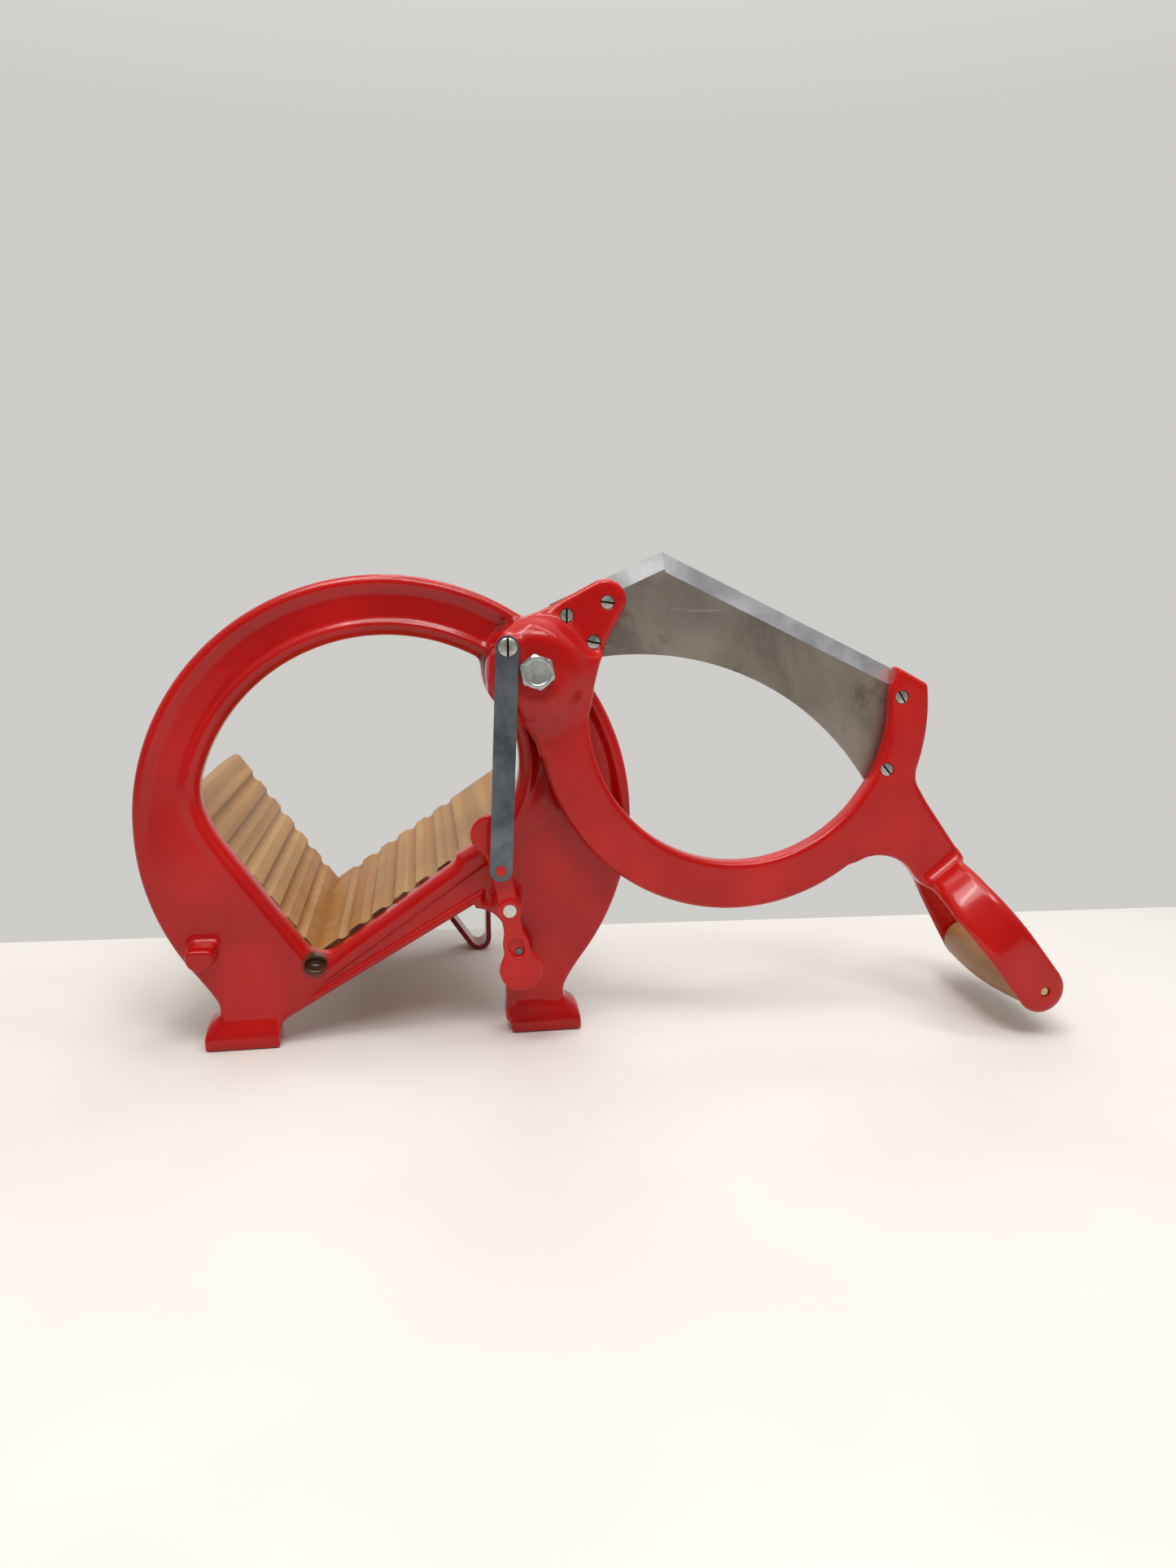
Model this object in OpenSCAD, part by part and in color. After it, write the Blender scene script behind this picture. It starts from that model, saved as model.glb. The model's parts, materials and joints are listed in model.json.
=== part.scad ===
// Hand-lever slicer with a cast ring frame, a swinging guillotine blade and a grooved
// wooden trough. Before seating, X = 0 is the pivot axis, Y = 0 the front face of the
// frame (the user stands at -Y) and Z = 0 the table. The lever is modelled open.

/* [Ring frame] */
// Outer radius of the cast ring
ring_r = 151; // [140:1:160]
// Height of the ring's centre above the table
ring_z = 139; // [132:1:146]
// How far the ring's centre lies to the left of the pivot
ring_offset = 89; // [85:1:93]
// Radius of the round part of the opening
opening_r = 116; // [110:1:120]
// Depth of the casting from front to back
frame_depth = 16.5; // [14:0.5:20]
// Depth of the recessed web behind the front edges
web_recess = 2.5; // [1:0.5:4]
// Width of each foot
foot_w = 46; // [40:1:52]

/* [Pivot] */
// Height of the pivot bolt above the table
pivot_z = 233.3; // [228:0.1:238]
// Diameter of the pivot bolt
bolt_d = 12; // [10:1:12]
// Width across the flats of the bolt's head and nut
bolt_af = 19; // [17:1:19]

/* [Trough] */
// Length of the trough behind the frame
trough_len = 188.5; // [120:0.5:220]
// Slope of the left board in degrees
left_slope = 55; // [50:1:60]
// Slope of the right board in degrees
right_slope = 34; // [30:1:38]
// Width of the left board along its slope
left_board_w = 126.5; // [110:0.5:130]
// Width of the right board along its slope
right_board_w = 161; // [150:1:163]
// Thickness of both boards
board_t = 18; // [14:1:20]
// Number of crumb grooves in each board
groove_count = 6; // [0:1:6]
// Distance from one groove to the next
groove_pitch = 17.1; // [15:0.1:17.5]
// Depth of a groove
groove_depth = 2.1; // [1:0.1:3]

/* [Blade] */
// Thickness of the blade
blade_t = 2.8; // [2:0.1:3]
// Width of the ground bevel
bevel_w = 10; // [6:0.5:14]

/* [Lever] */
// Outer radius of the lever's curved rim
rim_r = 124.5; // [122:0.5:126]
// Inner radius of the lever's curved rim
rim_inner_r = 96.7; // [94:0.1:98]
// Distance of the grip's axis to the right of the pivot
grip_x = 313.8; // [308:0.1:318]
// Height of the grip's axis above the table
grip_z = 31.1; // [28:0.1:40]
// Clear length between the ears of the handle
ear_gap = 106; // [100:1:108]
// Width of an ear
ear_w = 32; // [28:0.5:33]
// Largest diameter of the wooden grip
grip_d = 33; // [30:1:34]

/* [Hidden] */

$fn = 96;
run_gap = 0.05;      // radial clearance of a running fit
far = 400;           // longer than any side of the object

// Ring frame
ring_x = -ring_offset;
opening_x = ring_x + 1;
opening_z = ring_z - 1;
bead_w = 9;          // raised outer edge of the ring
lip_w = 4.5;         // raised edge round the opening
rail_band = 8;       // raised band along the right rail
panel_recess = 1.3;  // depth of the panel below the rail band
smooth_x = -128;     // the face left of and below this corner has no recess
smooth_z = 122;
rail_x = -135.5;     // the V of the rails, where the two meet
rail_z = 51.3;
left_rail = 180 - 55.7;
right_rail = 35.2;
jamb_x = -70;        // curved right side of the opening
jamb_z = 175;
jamb_r = 62;
belly_x = -157;      // lower edge between the feet
belly_z = 16;
belly_slope = 30;
arch_r = 19;
leg_x = -18.5;       // inner side of the right leg
boss_r = 29.5;       // pivot boss on the frame
boss_front = -1.2;
boss_back = 20;
foot_front = -4;
foot_back = 17.5;
foot_left = ring_x - 94;
foot_right = ring_x + 95.5;
lug_front = -18.7;   // stop lug for the closed lever
lug_top = 70;

// Ledges that carry the boards
ledge_back = 42;
ledge_t = 6;
ledge_from = 28;
ledge_to = 98;

// Trough
apex_x = -136.9;
apex_z = 54;
board_back = frame_depth + trough_len;
left_dir = 180 - left_slope;
left_groove = 17;    // first groove from the apex
right_groove = 20;
groove_r = 5.8;
board_round = 4.5;
screw_r = 2;         // wood screws under the boards
screw_head_r = 3.9;

// Rear leg, a bent strap under the right board
strap_t = 3.7;
strap_front = 168;
strap_back = 189;
bend_x = -27.5;
bend_r = 9.5;
tab_len = 19;

// Lever layers, front faces and back faces along Y
arm_back = -2;
rim_front = -16.5;
heel_front = -11;
lever_front = -15;
hub_front = -28;
hub_r = 29;
rim_x = 127;
rim_z = 204;
rim_inner_x = 130;
rim_inner_z = 206.5;
bush_r = 8.5;
blade_front = arm_back - blade_t;
blade_screw_r = 4.35;
blade_shank_r = 2.2;

// Handle: S runs from the grip's axis to the lever, N is across it
ear_angle = 128.5;
ear_t = 7;
ear_mid = -6;
crown = 86;          // outer end of the bow along S
shoulder_r = 58;
rod_r = 2.5;
grip_end_r = 12.8;
grip_end_gap = 1.2;
washer_t = 0.9;

// Link
link_w = 13.5;
link_t = 2.4;
link_back = -28.6;
link_top = [-17, 248];
link_low = [-23, 114.7];
link_front = link_back - link_t;

// Gauge rocker
gauge_x = -18;
gauge_z = 88.6;
gauge_front = -27.5;
gauge_back = -21.5;
gauge_pin_r = 4;
finger_front = -13.5;
finger_back = -9.5;
stop_pin = [-12.7, 62.5];

// The object is seated with its origin under the middle of its box
x_min = ring_x - ring_r;
x_max = grip_x + grip_d / 2;
y_min = ear_mid - ear_gap / 2 - ear_t;
mid_x = (x_min + x_max) / 2;
mid_y = (y_min + board_back) / 2;

red = [0.72, 0.07, 0.06];
beech = [0.72, 0.50, 0.29];
bright = [0.72, 0.74, 0.76];
dark_steel = [0.30, 0.33, 0.36];

// ---------------------------------------------------------------- helpers

module seated() {
    translate([-mid_x, -mid_y, 0]) children();
}

// An upright plate between two depths from an outline drawn in X and Z
module plate(front, back) {
    translate([0, back, 0]) rotate([90, 0, 0]) linear_extrude(back - front) children();
}

// A round bar along Y
module bar(x, z, r, front, back) {
    translate([x, back, z]) rotate([90, 0, 0]) cylinder(r = r, h = back - front);
}

// A turned shape whose axis lies along Y; its outline holds [radius, distance forward]
module turned(x, z, back = 0) {
    translate([x, back, z]) rotate([90, 0, 0]) rotate_extrude() children();
}

// Points of an arc, with n steps from angle a to angle b
function arc(x, y, r, a, b, n) = [
    for (i = [0 : n]) [x + r * cos(a + (b - a) * i / n), y + r * sin(a + (b - a) * i / n)]
];

// The half plane on the left of a line that runs through a point at an angle
module left_of(x, z, angle) {
    translate([x, z]) rotate(angle) translate([-far, 0]) square([2 * far, far]);
}

// A slotted countersunk screw with its head to the front
module countersunk(x, z, front, tip, slot) {
    difference() {
        turned(x, z, tip) polygon([
            [0, 0], [blade_shank_r, 0], [blade_shank_r, tip - front - 2.6],
            [blade_screw_r - 0.2, tip - front - 0.8], [blade_screw_r - 0.2, tip - front],
            [0, tip - front]
        ]);
        translate([x, front, z]) rotate([0, slot, 0]) cube([12, 2, 1.1], center = true);
    }
}

// The cavity for such a screw
module countersink(x, z, front) {
    turned(x, z, 0) polygon([
        [0, 0], [blade_shank_r, 0], [blade_shank_r, -front - 2.6],
        [blade_screw_r, -front - 0.8], [blade_screw_r, 1 - front], [0, 1 - front]
    ]);
}

// Lays children out on a board: X runs up the slope from the apex, Y to its upper left
module on_slope(angle) {
    translate([apex_x, apex_z]) rotate(angle) children();
}

// A wood screw that enters a board square to its underside, at a distance s up the slope
module board_screw(angle, side, s, y, head_depth, len) {
    translate([apex_x, y, apex_z]) rotate([0, -angle, 0]) translate([s, 0, side * head_depth])
        rotate([side > 0 ? 180 : 0, 0, 0]) {
            cylinder(r = screw_r, h = len);
            translate([0, 0, -1.8]) cylinder(r = screw_head_r, h = 1.8);
        }
}

// ---------------------------------------------------------------- frame

module opening_2d(grow) {
    difference() {
        intersection() {
            translate([opening_x, opening_z]) circle(opening_r + grow, $fn = 180);
            translate([rail_x, rail_z]) rotate(right_rail) translate([-far, -grow])
                square([2 * far, far]);
            translate([rail_x, rail_z]) rotate(left_rail - 180) translate([-far, -grow])
                square([2 * far, far]);
        }
        translate([0, pivot_z]) circle(boss_r - grow);
        jamb_2d(grow);
    }
}

// Metal right of the opening, with a concave side
module jamb_2d(grow) {
    difference() {
        translate([-48, 60]) square([90, 143]);
        translate([jamb_x, jamb_z]) circle(jamb_r + grow);
    }
}

// Air below the frame, between the legs; grow moves its edge up into the metal
module belly_2d(grow) {
    arch_x = leg_x - arch_r;
    arch_z = belly_z + (arch_x - belly_x) * tan(belly_slope) - arch_r / cos(belly_slope);
    difference() {
        translate([belly_x, belly_z]) rotate(belly_slope) translate([-80, grow - far])
            square([far, far]);
        translate([arch_x, arch_z]) square([far, far]);
        translate([leg_x + grow, -far]) square([far, 2 * far]);
    }
    translate([arch_x, arch_z]) circle(arch_r + grow);
}

// One leg beside the ring, as a half outline that is mirrored for the other side
module leg_2d() {
    neck = [[-206, 44.5], [-200, 34.5], [-197, 29], [-196.2, 25], [-197, 20.5], [-201, 15]];
    polygon(concat(neck, [[-201, 8], [-150, 8], [-150, 60], [-195, 60]]));
}

module silhouette_2d() {
    difference() {
        union() {
            intersection() {
                translate([ring_x, ring_z]) circle(ring_r, $fn = 240);
                translate([-far, 12]) square([2 * far, far]);
            }
            translate([0, pivot_z]) circle(boss_r - 1);
            leg_2d();
            translate([2 * ring_x, 0]) mirror([1, 0]) leg_2d();
        }
        opening_2d(0);
        belly_2d(0);
    }
}

// The front recess: everything inside the raised edges
module web_2d() {
    difference() {
        intersection() {
            translate([ring_x, ring_z]) circle(ring_r - bead_w, $fn = 240);
            translate([-far, 24]) square([2 * far, far]);
        }
        opening_2d(lip_w);
        belly_2d(lip_w);
        translate([0, pivot_z]) circle(boss_r + 2);
        translate([gauge_x, gauge_z]) circle(gauge_pin_r + 6);
        translate([smooth_x - far, smooth_z - far]) square([far, far]);
    }
}

// The shallower panel below the right rail and on the right leg
module panel_2d() {
    intersection() {
        web_2d();
        translate([rail_x, rail_z]) rotate(right_rail) translate([6, -far - lip_w - rail_band])
            square([far, far]);
    }
}

module foot(x) {
    half = foot_w / 2;
    intersection() {
        plate(foot_front, foot_back) translate([x, 0]) polygon([
            [-half + 1, 0], [half - 1, 0], [half, 1.5], [half, 11.5], [half - 6, 18],
            [6 - half, 18], [-half, 11.5], [-half, 1.5]
        ]);
        translate([x - half, 0, 0]) rotate([90, 0, 90]) linear_extrude(foot_w) polygon([
            [foot_front + 1, 0], [foot_back - 1, 0], [foot_back, 1.5], [foot_back, 18],
            [2.5, 18], [-1, 13.5], [foot_front, 9.5], [foot_front, 1.5]
        ]);
    }
}

// A ledge behind the frame, square to its board
module ledge(angle, side) {
    plate(frame_depth - 2, ledge_back) on_slope(angle)
        translate([ledge_from, side > 0 ? board_t : -board_t - ledge_t])
            square([ledge_to - ledge_from, ledge_t]);
}

module frame() color(red) seated() difference() {
    union() {
        difference() {
            intersection() {
                plate(0, frame_depth) silhouette_2d();
                union() {
                    bevelled_disc();
                    translate([-far, -1, 0]) cube([2 * far, frame_depth + 2, 60]);
                    bar(0, pivot_z, boss_r, -1, frame_depth + 1);
                }
            }
            plate(-1, web_recess) web_2d();
        }
        plate(panel_recess, web_recess + 1) panel_2d();
        bar(0, pivot_z, boss_r, boss_front, boss_back);
        bar(gauge_x, gauge_z, gauge_pin_r + 4.5, gauge_back + 1.2, 8);
        foot(foot_left);
        foot(foot_right);
        stop_lug();
        plate(-10, web_recess + 1) translate([stop_pin[0] - 6.4, stop_pin[1] - 5]) square([4, 11]);
        ledge(right_slope, -1);
        ledge(left_dir, 1);
    }
    bar(0, pivot_z, bolt_d / 2 + run_gap, -5, 30);
    bar(gauge_x, gauge_z, gauge_pin_r + 0.02, -25, 12);
    for (s = [ledge_from + 12, ledge_to - 12]) {
        board_screw(right_slope, -1, s, ledge_back - 12, board_t + ledge_t, 30);
        board_screw(left_dir, 1, s, ledge_back - 12, board_t + ledge_t, 30);
    }
    bar(-138, 50, 5, -1, 5);
}

// The ring's disc with a rounded front edge
module bevelled_disc() {
    edge = 5;
    turned(ring_x, ring_z, frame_depth) polygon(concat(
        [[0, 0], [ring_r - 1, 0], [ring_r, 1]],
        arc(ring_r - edge, frame_depth - edge, edge, 0, 90, 6),
        [[0, frame_depth]]
    ));
}

// Stop for the closed lever: flat on top, round below
module stop_lug() {
    plate(lug_front, web_recess + 1) intersection() {
        translate([-202.8, 65]) circle(8.2);
        translate([-far, lug_top - far]) square([2 * far, far]);
    }
}

// ---------------------------------------------------------------- trough

module grooves_2d(first, side) {
    for (i = [0 : groove_count - 1])
        translate([first + groove_pitch * i, side * (groove_r - groove_depth)])
            circle(groove_r);
}

module left_board() color(beech) seated() difference() {
    cut = board_t / tan(left_dir - right_slope);
    plate(frame_depth, board_back) on_slope(left_dir) difference() {
        polygon(concat(
            [[0, 0], [-cut, board_t], [left_board_w - 2, board_t], [left_board_w, board_t - 2]],
            arc(left_board_w - board_round, board_round, board_round, 0, -90, 6)
        ));
        grooves_2d(left_groove, -1);
    }
    left_board_screws_at();
    apex_screws_at();
}

module right_board() color(beech) seated() difference() {
    plate(frame_depth, board_back) on_slope(right_slope) difference() {
        translate([-board_t - 2, -board_t]) square([right_board_w + board_t + 2, board_t]);
        grooves_2d(right_groove, 1);
    }
    right_board_screws_at();
    apex_screws_at();
    rear_leg_screws_at();
}

module left_board_screws_at() {
    for (s = [ledge_from + 12, ledge_to - 12])
        board_screw(left_dir, 1, s, ledge_back - 12, board_t + ledge_t, 18);
}

module right_board_screws_at() {
    for (s = [ledge_from + 12, ledge_to - 12])
        board_screw(right_slope, -1, s, ledge_back - 12, board_t + ledge_t, 18);
}

// Screws up through the right board into the foot of the left board
module apex_screws_at() {
    for (y = [60, 115, 170])
        board_screw(right_slope, -1, -9, y, board_t - 1.8, 38);
}

module rear_leg_screws_at() {
    for (s = [strap_left_s() - tab_len / 2, strap_right_s() - tab_len / 2 - 2])
        board_screw(right_slope, -1, s, (strap_front + strap_back) / 2, board_t + strap_t, 16);
}

module left_board_screws() color(bright) seated() left_board_screws_at();
module right_board_screws() color(bright) seated() right_board_screws_at();
module apex_screws() color(bright) seated() apex_screws_at();
module rear_leg_screws() color(bright) seated() rear_leg_screws_at();

// ---------------------------------------------------------------- rear leg

// Where the two arms of the strap meet the board, as distances up its slope
function along(x, z) = (x - apex_x) * cos(right_slope) + (z - apex_z) * sin(right_slope);
function below(x, z) = (x - apex_x) * sin(right_slope) - (z - apex_z) * cos(right_slope);
function strap_left_s() = along(
    bend_x + bend_r * cos(right_slope + 180), bend_r + bend_r * sin(right_slope + 180));
function strap_right_s() = along(bend_x + bend_r, apex_z
    + (bend_x + bend_r - apex_x) * tan(right_slope) - board_t / cos(right_slope));

module rear_leg() color(red) seated() difference() {
    plate(strap_front, strap_back) {
        reach = below(bend_x, bend_r) - board_t;
        polygon(concat(
            arc(bend_x, bend_r, bend_r, right_slope + 180, 360, 9),
            arc(bend_x, bend_r, bend_r - strap_t, 360, right_slope + 180, 9)
        ));
        translate([bend_x, bend_r]) rotate(right_slope) {
            translate([-bend_r, 0]) square([strap_t, reach]);
            translate([-bend_r - tab_len + strap_t, reach - strap_t]) square([tab_len, strap_t]);
        }
        difference() {
            translate([bend_x + bend_r - strap_t, bend_r]) square([strap_t, far]);
            on_slope(right_slope) translate([-far, -board_t]) square([2 * far, far]);
        }
        on_slope(right_slope) translate([strap_right_s() - tab_len, -board_t - strap_t])
            square([tab_len - 1, strap_t]);
    }
    rear_leg_screws_at();
}

// ---------------------------------------------------------------- pivot

module hexagon(r_flat) {
    circle(r_flat / cos(30), $fn = 6);
}

module pivot_bolt() color(bright) seated() {
    head = 7.5;
    bar(0, pivot_z, bolt_d / 2, hub_front - head / 2, boss_back + 15);
    plate(hub_front - head - run_gap, hub_front - run_gap) translate([0, pivot_z])
        rotate(-20) hexagon(bolt_af / 2);
}

module thrust_washer() color(dark_steel) seated()
    plate(arm_back + 0.05, boss_front) translate([0, pivot_z]) difference() {
        circle(14);
        circle(bolt_d / 2 + 0.1);
    }

module pivot_nut() color(bright) seated()
    plate(boss_back + 1.6, boss_back + 11.6) translate([0, pivot_z]) difference() {
        rotate(12) hexagon(bolt_af / 2);
        circle(bolt_d / 2);
    }

module nut_washer() color(bright) seated()
    plate(boss_back, boss_back + 1.6) translate([0, pivot_z]) difference() {
        circle(12);
        circle(bolt_d / 2 + 0.2);
    }

// A bush pressed into the hub of the lever, turning on the bolt
module pivot_bush() color([0.70, 0.55, 0.30]) seated()
    plate(hub_front + 0.3, arm_back) translate([0, pivot_z]) difference() {
        circle(bush_r);
        circle(bolt_d / 2 + run_gap);
    }

// ---------------------------------------------------------------- lever

// Round hub with a domed front
module hub() {
    dome = 8;
    turned(0, pivot_z, arm_back) polygon(concat(
        [[0, 0], [hub_r, 0], [hub_r, -hub_front + arm_back - dome]],
        arc(hub_r - dome, arm_back - hub_front - dome, dome - 0.5, 10, 90, 6),
        [[0, arm_back - hub_front - 0.5]]
    ));
    bar(0, pivot_z, hub_r - dome - 6, hub_front, arm_back);
    bar(link_top[0], link_top[1], 5.5, hub_front, arm_back);
}

// Curved rim, cut off at the two ends where the blade is fastened
module rim_2d() {
    difference() {
        translate([rim_x, rim_z]) circle(rim_r, $fn = 200);
        translate([rim_inner_x, rim_inner_z]) circle(rim_inner_r, $fn = 160);
        polygon([
            [-50, 240], [100, 240], [100, 216], [226.5, 214.5], [230, 232], [248.5, 222],
            [275, 206], [275, 340], [-50, 340]
        ]);
    }
    polygon([
        [-26, 221], [-18, 211.5], [-10, 204], [-3.5, 196.5], [1, 188], [3.2, 180], [20, 190],
        [0, 225]
    ]);
}

module heel_2d() {
    translate([44.5, 274.5]) circle(12.6);
    polygon([[-8, 261], [-16, 244], [8, 215], [33, 212], [34.5, 225], [40, 240], [55.5, 268.4],
        [39.2, 286]]);
}

module lever_2d() {
    difference() {
        polygon([
            [196, 112], [210, 150], [236, 172], [243.5, 163], [246.5, 156.5], [254, 144.2],
            [273.2, 117.3], [280.4, 106.4], [254.5, 90.5], [215, 100]
        ]);
        translate([222, 80]) circle(30);
        translate([rim_inner_x, rim_inner_z]) circle(rim_inner_r + 3);
    }
}

// The bow of the handle seen along N, and one ear seen along Y
module bow_2d(inset) {
    r = shoulder_r - inset;
    half = ear_gap / 2 + ear_t - inset;
    polygon(concat(
        [[-40, -half]],
        arc(crown - shoulder_r, -half + r, r, -90, 0, 10),
        arc(crown - shoulder_r, half - r, r, 0, 90, 10),
        [[-40, half]]
    ));
}

module ear_2d() {
    r = ear_w / 2;
    polygon(concat(arc(1.5, 0.5, r, 90, 270, 16), [
        [35, -r], [70, -r - 0.7], [crown + 1, -r - 3], [crown + 1, 7], [79, 10.5],
        [66, 14.5], [45, r - 0.3], [15, r + 0.5]
    ]));
}

// The bow's lower side is cut back towards the rear ear, on one slanting plane
module yoke() {
    intersection() {
        translate([grip_x, ear_mid, grip_z]) rotate([0, -ear_angle, 0]) difference() {
            linear_extrude(60, center = true) difference() {
                bow_2d(0);
                bow_2d(ear_t);
            }
            translate([10, 56, 10.5]) rotate([-13.5, 10.2, 0]) translate([-200, -200, 0])
                cube(400);
        }
        plate(y_min - 1, y_min + ear_gap + 2 * ear_t + 1)
            translate([grip_x, grip_z]) rotate(ear_angle) ear_2d();
    }
}

heel_screw_at = [[20.4, 265.3, 90], [45.2, 272.9, 8], [36.6, 249.2, 12]];
toe_screw_at = [[232.7, 212.9, 58], [224.7, 166.8, 50]];

module arm() color(red) seated() difference() {
    union() {
        plate(rim_front, arm_back) rim_2d();
        plate(heel_front, arm_back) heel_2d();
        plate(lever_front, arm_back) lever_2d();
        hub();
        yoke();
    }
    plate(blade_front, 0) blade_2d();
    bar(0, pivot_z, bush_r + 0.01, -40, 0);
    bar(link_top[0], link_top[1], 2.5, -40, -14);
    for (p = heel_screw_at) countersink(p[0], p[1], heel_front);
    for (p = toe_screw_at) countersink(p[0], p[1], rim_front);
    bar(grip_x, grip_z, rod_r + 0.01, -100, 100);
}

// ---------------------------------------------------------------- blade

module blade_2d() {
    difference() {
        polygon([
            [79.9, 302.9], [38, 284], [11, 271.8], [9, 262], [24, 247], [30, 225], [224, 140],
            [230, 158], [240.5, 176], [243, 196], [243, 214], [241.2, 225]
        ]);
        translate([63.8, 62.1]) circle(179.2, $fn = 240);
    }
}

// Removes the wedge of the ground bevel along an edge that runs from a to b
module bevel(a, b) {
    dir = atan2(b[1] - a[1], b[0] - a[0]);
    slope = atan2(blade_t - 0.4, bevel_w);
    translate([a[0], blade_front, a[1]]) rotate([0, -dir, 0])
        translate([-30, 0, -bevel_w]) rotate([-slope, 0, 0]) translate([0, -20, 0])
            cube([260, 20, 40]);
}

module blade() color([0.42, 0.40, 0.39]) seated() difference() {
    plate(blade_front, arm_back) blade_2d();
    intersection() {
        bevel([79.9, 302.9], [241.2, 225]);
        plate(-20, 20) left_of(79.9, 302.9, -90 + 9);
    }
    intersection() {
        bevel([38, 284], [79.9, 302.9]);
        plate(-20, 20) difference() {
            translate([30, 200]) square([120, 120]);
            left_of(79.9, 302.9, -90 + 9);
        }
    }
    for (p = heel_screw_at) bar(p[0], p[1], blade_shank_r + 0.1, -20, 20);
    for (p = toe_screw_at) bar(p[0], p[1], blade_shank_r + 0.1, -20, 20);
}

module heel_screws() color(bright) seated()
    for (p = heel_screw_at) countersunk(p[0], p[1], heel_front, arm_back, p[2]);

module toe_screws() color(bright) seated()
    for (p = toe_screw_at) countersunk(p[0], p[1], rim_front, arm_back, p[2]);

// ---------------------------------------------------------------- handle

module grip_rod() color(bright) seated()
    bar(grip_x, grip_z, rod_r, y_min + 1.2, y_min + ear_gap + 2 * ear_t - 1.2);

module grip_washers() color(bright) seated()
    for (y = [y_min + ear_t, y_min + ear_t + ear_gap - washer_t])
        plate(y, y + washer_t) translate([grip_x, grip_z]) difference() {
            circle(6);
            circle(rod_r + 0.05);
        }

// A barrel turned from wood, largest at mid length
module grip() color(beech) seated() {
    len = ear_gap - 2 * grip_end_gap;
    steps = 16;
    swell = grip_d / 2 - grip_end_r;
    turned(grip_x, grip_z, ear_mid + len / 2) difference() {
        polygon(concat(
            [[0, 0], [grip_end_r - 1.5, 0]],
            [for (i = [0 : steps]) [
                grip_end_r + swell * sin(180 * i / steps), 1.2 + (len - 2.4) * i / steps
            ]],
            [[grip_end_r - 1.5, len], [0, len]]
        ));
        square([2 * (rod_r + run_gap), 3 * len], center = true);
    }
}

// ---------------------------------------------------------------- link

module link_bar() color(dark_steel) seated() {
    dx = link_low[0] - link_top[0];
    dz = link_low[1] - link_top[1];
    plate(link_front, link_back) difference() {
        translate(link_top) rotate(atan2(dz, dx)) polygon(concat(
            arc(0, 0, link_w / 2, 90, 270, 12),
            arc(norm([dx, dz]), 0, link_w / 2, -90, 90, 12)
        ));
        translate(link_top) circle(3.5 + run_gap);
        translate(link_low) circle(3.25);
    }
}

// Shoulder screw: the link turns on its shoulder
module link_screw() color(bright) seated() {
    head = 2.6;
    difference() {
        union() {
            bar(link_top[0], link_top[1], 2.5, hub_front, -16);
            bar(link_top[0], link_top[1], 3.5, link_front - 0.1, hub_front);
            turned(link_top[0], link_top[1], link_front - 0.1) polygon([
                [0, 0], [5.4, 0], [5.4, head - 0.8], [4.5, head], [0, head]
            ]);
        }
        translate([link_top[0], link_front - head - 0.1, link_top[1]])
            cube([1.3, 2.6, 14], center = true);
    }
}

module link_spacer() color(bright) seated()
    plate(link_back + 0.05, hub_front) translate(link_top) difference() {
        circle(6);
        circle(3.52);
    }

// The drive pin at the lower end; the chain of joints is open between it and the gauge
module link_pin() color(red) seated()
    bar(link_low[0], link_low[1], 3.25, link_front - 0.5, link_back);

// ---------------------------------------------------------------- gauge

// An arm of the rocker between two points, narrower than the eyes at its ends
module rocker_arm(a, b, w) {
    polygon(concat(
        arc(a[0], a[1], w / 2, atan2(b[1] - a[1], b[0] - a[0]) + 90,
            atan2(b[1] - a[1], b[0] - a[0]) + 270, 10),
        arc(b[0], b[1], w / 2, atan2(b[1] - a[1], b[0] - a[0]) - 90,
            atan2(b[1] - a[1], b[0] - a[0]) + 90, 10)
    ));
}

module gauge() color(red) seated() difference() {
    union() {
        plate(gauge_front, gauge_back) {
            rocker_arm([gauge_x, gauge_z], link_low, 11.5);
            rocker_arm([gauge_x, gauge_z], [-14.2, 66], 11.5);
            rocker_arm([-14.2, 66], [-12.5, 56], 15);
            translate([-11.3, 50]) circle(13.2);
        }
        plate(gauge_back - 0.5, -12) translate([-11.3, 50]) circle(10.5);
        bar(link_low[0], link_low[1], 6.2, gauge_front, finger_back);
        bar(gauge_x, gauge_z, 6.9, hub_front, gauge_back);
        plate(finger_front, finger_back) {
            rocker_arm(link_low, [-27.8, 132], 13);
            translate([-27.8, 133]) circle(12.4);
        }
    }
    bar(gauge_x, gauge_z, gauge_pin_r + run_gap, -40, 10);
    plate(-40, gauge_front + 1.6) {
        translate([-14.4, 66]) circle(4.6);
        translate([-12.9, 62.6]) circle(3.4);
    }
    bar(stop_pin[0], stop_pin[1], 2, -40, 10);
}

module gauge_pin() color([0.78, 0.80, 0.70]) seated()
    bar(gauge_x, gauge_z, gauge_pin_r, hub_front - 0.25, 8);

module gauge_washer() color(bright) seated()
    plate(gauge_back + 0.1, gauge_back + 1.2) translate([gauge_x, gauge_z]) difference() {
        circle(6.4);
        circle(gauge_pin_r + 0.1);
    }

// A pin riveted in the rocker's lower arm; it rests on a lug of the frame
module gauge_stop_pin() color(dark_steel) seated()
    bar(stop_pin[0], stop_pin[1], 2, gauge_front + 0.6, -3);

frame();
left_board();
right_board();
left_board_screws();
right_board_screws();
apex_screws();
rear_leg();
rear_leg_screws();
pivot_bolt();
thrust_washer();
pivot_nut();
nut_washer();
gauge_pin();
gauge_washer();
arm();
blade();
heel_screws();
toe_screws();
pivot_bush();
grip_rod();
grip_washers();
link_screw();
link_spacer();
link_bar();
link_pin();
gauge();
gauge_stop_pin();
grip();
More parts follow.
